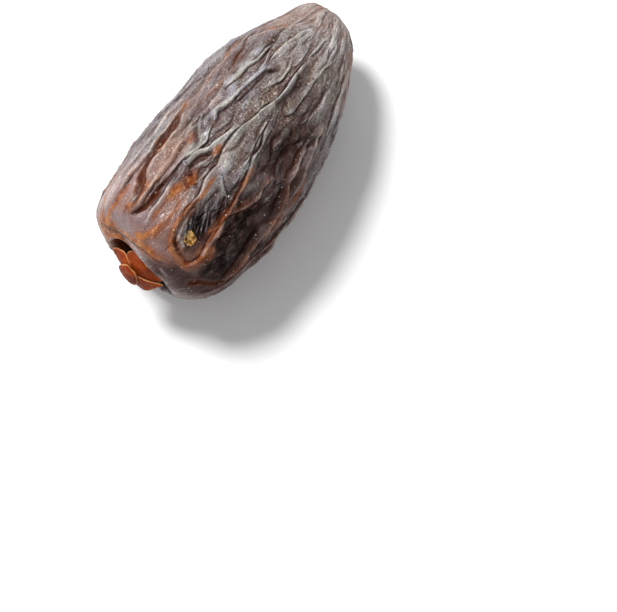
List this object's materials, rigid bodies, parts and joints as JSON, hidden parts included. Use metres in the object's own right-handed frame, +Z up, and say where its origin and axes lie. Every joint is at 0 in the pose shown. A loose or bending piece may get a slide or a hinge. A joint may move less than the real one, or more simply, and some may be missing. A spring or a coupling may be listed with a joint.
{
  "type": "medjool date",
  "caption": "Dried medjool date lying on its side: a tapering wrinkled fruit with a woody lobed calyx in the hollow of its stem end.",
  "frame": {"origin": "on the surface that the date lies on, under the middle of its bounding box", "axes": "+X along the fruit from the stem end to the tip, +Z up"},
  "size_m": [0.0604, 0.0288, 0.0284],
  "materials": {
    "date_skin": "satin, wrinkled purple-brown skin with a pale grey-lilac bloom on the crests",
    "woody_calyx": "dry, matte orange-brown with pale thin edges"
  },
  "bodies": {
    "root": {"fruit": "date_skin", "calyx": "woody_calyx"}
  },
  "joints": []
}
